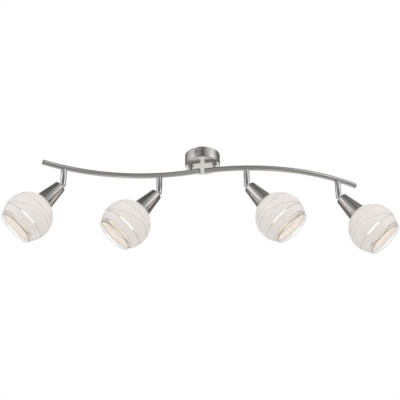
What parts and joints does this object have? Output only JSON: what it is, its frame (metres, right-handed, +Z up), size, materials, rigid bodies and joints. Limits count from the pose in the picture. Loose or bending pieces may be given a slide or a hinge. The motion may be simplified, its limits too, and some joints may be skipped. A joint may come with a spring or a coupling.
{
  "type": "ceiling spotlight bar",
  "caption": "Ceiling spotlight bar: round canopy, two swivelling curved tube arms in a shallow S, and swivelling, tilting conical cups with opal glass globe shades.",
  "frame": {"origin": "centre of the ceiling bracket's top face, in the plane of the ceiling", "axes": "+X along the bar, +Y towards the back, +Z up into the ceiling"},
  "size_m": [0.883, 0.1624, 0.2254],
  "materials": {
    "satin_nickel": "satin brushed nickel plate",
    "chrome": "polished",
    "zinc_steel": "zinc plated",
    "brass": "plain",
    "white_plastic": "fine matt",
    "lead_insulation": "smooth",
    "opal_glass": "satin white glass with thin clear lines and a clear lip",
    "bulb_glass": "frosted, warm white"
  },
  "bodies": {
    "mounting": {"ceiling_bracket": "zinc_steel", "canopy_cup": "satin_nickel", "terminal_block": "white_plastic", "earth_screw": "brass", "post_collar_left": "chrome", "post_collar_right": "chrome", "side_screw_front": "chrome", "side_screw_back": "chrome"},
    "arm_left": {"arm_tube_left": "satin_nickel", "arm_post_left": "chrome", "post_nut_left": "zinc_steel", "arm_lead_left": "lead_insulation", "end_cap_inner_left": "satin_nickel", "end_cap_outer_left": "satin_nickel"},
    "arm_right": {"arm_tube_right": "satin_nickel", "arm_post_right": "chrome", "post_nut_right": "zinc_steel", "arm_lead_right": "lead_insulation", "end_cap_inner_right": "satin_nickel", "end_cap_outer_right": "satin_nickel"},
    "swivel_1": {"stem_1": "chrome", "swivel_rivet_1": "zinc_steel", "pivot_screw_1": "chrome"},
    "swivel_2": {"stem_2": "chrome", "swivel_rivet_2": "zinc_steel", "pivot_screw_2": "chrome"},
    "swivel_3": {"stem_3": "chrome", "swivel_rivet_3": "zinc_steel", "pivot_screw_3": "chrome"},
    "swivel_4": {"stem_4": "chrome", "swivel_rivet_4": "zinc_steel", "pivot_screw_4": "chrome"},
    "head_1": {"knuckle_1": "chrome", "cone_cup_1": "satin_nickel", "lampholder_1": "white_plastic", "shade_ring_1": "white_plastic", "glass_shade_1": "opal_glass", "bulb_glass_1": "bulb_glass", "bulb_cap_1": "brass"},
    "head_2": {"knuckle_2": "chrome", "cone_cup_2": "satin_nickel", "lampholder_2": "white_plastic", "shade_ring_2": "white_plastic", "glass_shade_2": "opal_glass", "bulb_glass_2": "bulb_glass", "bulb_cap_2": "brass"},
    "head_3": {"knuckle_3": "chrome", "cone_cup_3": "satin_nickel", "lampholder_3": "white_plastic", "shade_ring_3": "white_plastic", "glass_shade_3": "opal_glass", "bulb_glass_3": "bulb_glass", "bulb_cap_3": "brass"},
    "head_4": {"knuckle_4": "chrome", "cone_cup_4": "satin_nickel", "lampholder_4": "white_plastic", "shade_ring_4": "white_plastic", "glass_shade_4": "opal_glass", "bulb_glass_4": "bulb_glass", "bulb_cap_4": "brass"}
  },
  "joints": [
    {"name": "arm_left_swivel", "type": "hinge", "parent": "mounting", "child": "arm_left", "pos_m": [-0.027, 0.00525, -0.0409], "axis": [0, 0, 1], "range_deg": [-80, 80]},
    {"name": "arm_right_swivel", "type": "hinge", "parent": "mounting", "child": "arm_right", "pos_m": [0.027, -0.00525, -0.0409], "axis": [0, 0, 1], "range_deg": [-80, 80]},
    {"name": "stem_1_swivel", "type": "hinge", "parent": "arm_left", "child": "swivel_1", "pos_m": [-0.31259, -0.01464, -0.06], "axis": [0, 0, 1], "range_deg": [-110, 110]},
    {"name": "stem_2_swivel", "type": "hinge", "parent": "arm_left", "child": "swivel_2", "pos_m": [-0.09832, 0.01885, -0.06], "axis": [0, 0, 1], "range_deg": [-110, 110]},
    {"name": "stem_3_swivel", "type": "hinge", "parent": "arm_right", "child": "swivel_3", "pos_m": [0.0992, -0.01296, -0.06], "axis": [0, 0, 1], "range_deg": [-110, 110]},
    {"name": "stem_4_swivel", "type": "hinge", "parent": "arm_right", "child": "swivel_4", "pos_m": [0.31, 0.03797, -0.06], "axis": [0, 0, 1], "range_deg": [-110, 110]},
    {"name": "head_1_tilt", "type": "hinge", "parent": "swivel_1", "child": "head_1", "pos_m": [-0.31259, -0.01464, -0.0832], "axis": [0, 1, 0], "range_deg": [-40.5, 34.5]},
    {"name": "head_2_tilt", "type": "hinge", "parent": "swivel_2", "child": "head_2", "pos_m": [-0.09832, 0.01885, -0.0832], "axis": [0, 1, 0], "range_deg": [-40.5, 34.5]},
    {"name": "head_3_tilt", "type": "hinge", "parent": "swivel_3", "child": "head_3", "pos_m": [0.0992, -0.01296, -0.0832], "axis": [0, -1, 0], "range_deg": [-40.5, 34.5]},
    {"name": "head_4_tilt", "type": "hinge", "parent": "swivel_4", "child": "head_4", "pos_m": [0.31, 0.03797, -0.0832], "axis": [0, -1, 0], "range_deg": [-40.5, 34.5]}
  ]
}
